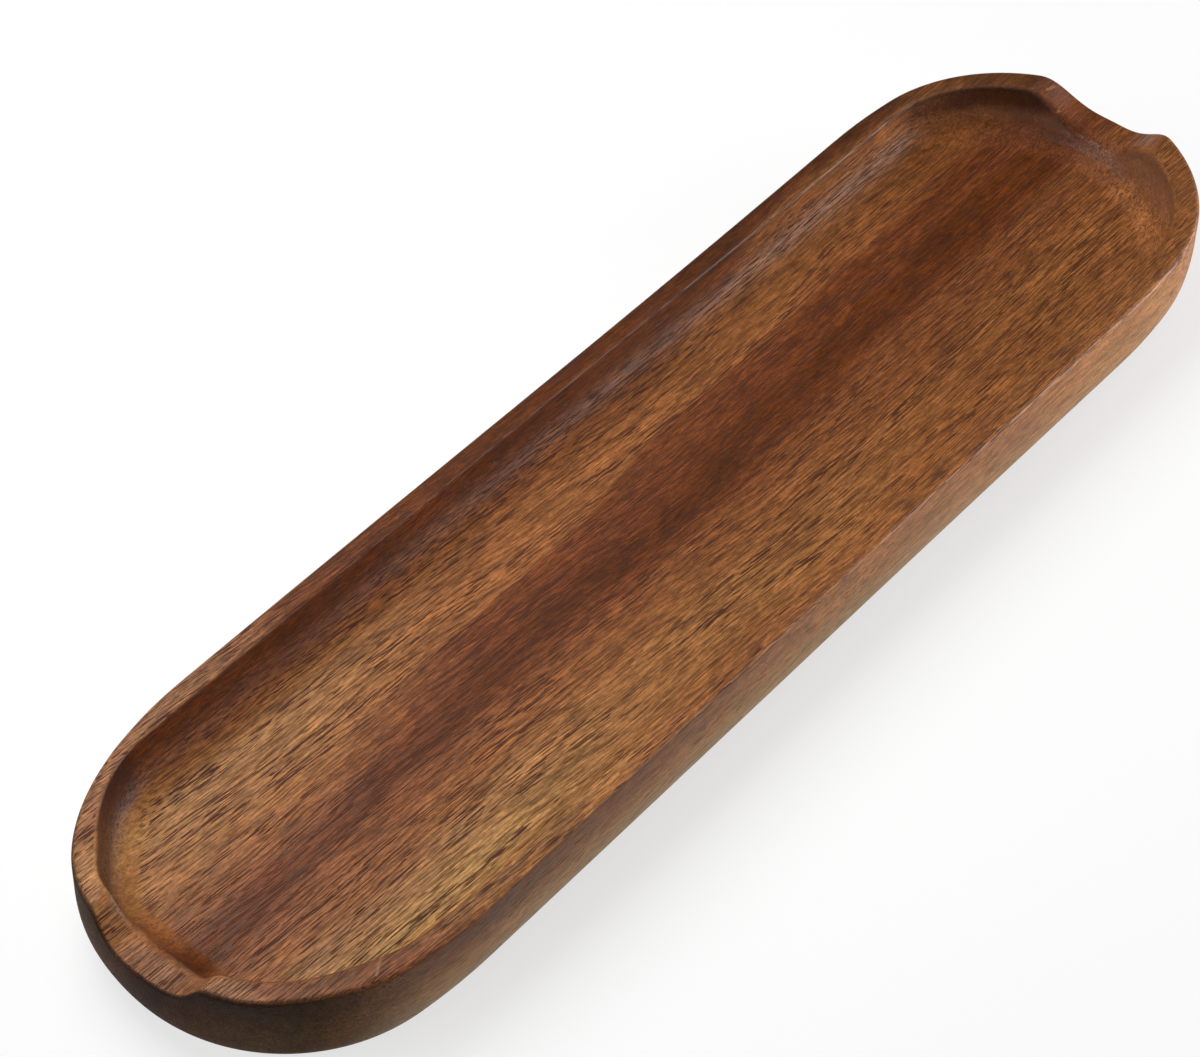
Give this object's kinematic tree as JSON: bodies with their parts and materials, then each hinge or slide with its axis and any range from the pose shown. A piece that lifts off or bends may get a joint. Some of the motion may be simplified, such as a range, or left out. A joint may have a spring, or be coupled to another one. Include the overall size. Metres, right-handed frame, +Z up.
{
  "type": "pen tray",
  "caption": "Long wooden pen tray with round ends, a flat-floored coved hollow, a low rim with a pen notch at each end, and anti-slip feet underneath.",
  "frame": {"origin": "under the centre of the tray, on the surface that its feet stand on", "axes": "+X along the tray, from the front notch to the rear notch; +Y across it to the left; +Z up, out of the hollow"},
  "size_m": [0.2, 0.0522, 0.0146],
  "materials": {
    "oiled_wood": "satin oil over open-pored brown hardwood",
    "foot_rubber": "matte moulded rubber"
  },
  "bodies": {
    "root": {"tray_body": "oiled_wood", "foot_front_left": "foot_rubber", "foot_front_right": "foot_rubber", "foot_rear_left": "foot_rubber", "foot_rear_right": "foot_rubber"}
  },
  "joints": []
}
